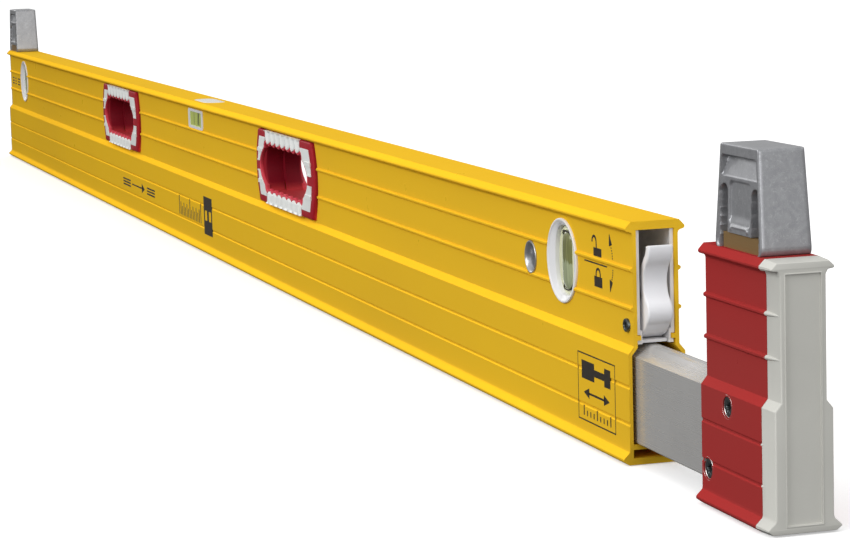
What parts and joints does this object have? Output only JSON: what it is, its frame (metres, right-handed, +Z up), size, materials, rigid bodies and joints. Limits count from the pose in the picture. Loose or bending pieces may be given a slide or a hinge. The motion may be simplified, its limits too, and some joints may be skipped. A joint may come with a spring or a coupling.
{
  "type": "extendable plate level",
  "caption": "Long box-section plate level: a rail with a red head slides out of one end, cast stand-offs sit on both ends, and a cam lever locks it.",
  "frame": {"origin": "under the middle of the whole instrument, on the plane that its base rests on", "axes": "+X along the frame towards the sliding head, +Z up from the base to the stand-offs, -Y is the front face"},
  "size_m": [2.23, 0.0386, 0.1765],
  "materials": {
    "beam_yellow": "satin powder coat",
    "cap_ivory": "fine moulded grain",
    "grip_red": "soft moulded, matt",
    "grip_white": "moulded",
    "vial_white": "smooth",
    "vial_clear": "polished clear acrylic",
    "vial_fluid": "clear yellow-green liquid",
    "sleeve_grey": "moulded",
    "lock_grey": "moulded",
    "pin_steel": "turned",
    "screw_black": "black oxide",
    "screw_grey": "dark zinc",
    "glide_black": "low-friction nylon",
    "cast_alloy": "as die cast",
    "clamp_brass": "dull sawn brass",
    "lever_white": "smooth moulded",
    "rail_silver": "satin anodised",
    "head_red": "satin powder coat"
  },
  "bodies": {
    "frame": {"main_beam": "beam_yellow", "fixed_end_cap": "cap_ivory", "left_grip_front": "grip_red", "left_grip_rear": "grip_red", "left_grip_inserts": "grip_white", "right_grip_front": "grip_red", "right_grip_rear": "grip_red", "right_grip_inserts": "grip_white", "centre_vial_holder": "vial_white", "centre_vial_block": "vial_clear", "centre_vial_fluid": "vial_fluid", "left_plumb_housing": "vial_white", "left_plumb_tube": "vial_clear", "left_plumb_fluid": "vial_fluid", "right_plumb_housing": "vial_white", "right_plumb_tube": "vial_clear", "right_plumb_fluid": "vial_fluid", "hang_sleeves": "sleeve_grey", "lock_housing": "lock_grey", "lever_pin": "pin_steel", "pivot_screws": "screw_black", "mouth_guides": "glide_black", "fixed_standoff": "cast_alloy", "fixed_clamp_block": "clamp_brass", "fixed_standoff_screws": "screw_black"},
    "lever": {"lock_lever": "lever_white"},
    "shoe": {"brake_shoe": "lock_grey"},
    "extension": {"extension_rail": "rail_silver", "rail_glide": "glide_black", "head_profile": "head_red", "head_cap": "cap_ivory", "head_shims": "glide_black", "head_nut_bar": "pin_steel", "head_screws": "screw_grey", "sliding_standoff": "cast_alloy", "sliding_clamp_block": "clamp_brass", "sliding_standoff_screws": "screw_black"}
  },
  "joints": [
    {"name": "extension_slide", "type": "slide", "parent": "frame", "child": "extension", "axis": [1, 0, 0], "range_m": [-0.096, 1.428]},
    {"name": "lever_swing", "type": "hinge", "parent": "frame", "child": "lever", "pos_m": [0.9267, 0, 0.0723], "axis": [0, 1, 0], "range_deg": [0, 55]},
    {"name": "brake_press", "type": "slide", "parent": "frame", "child": "shoe", "axis": [0, 0, -1], "range_m": [0, 0.0008]}
  ],
  "couplings": [
    {"joint": "brake_press", "follows": "lever_swing", "m_per_rad": 0.000833}
  ]
}
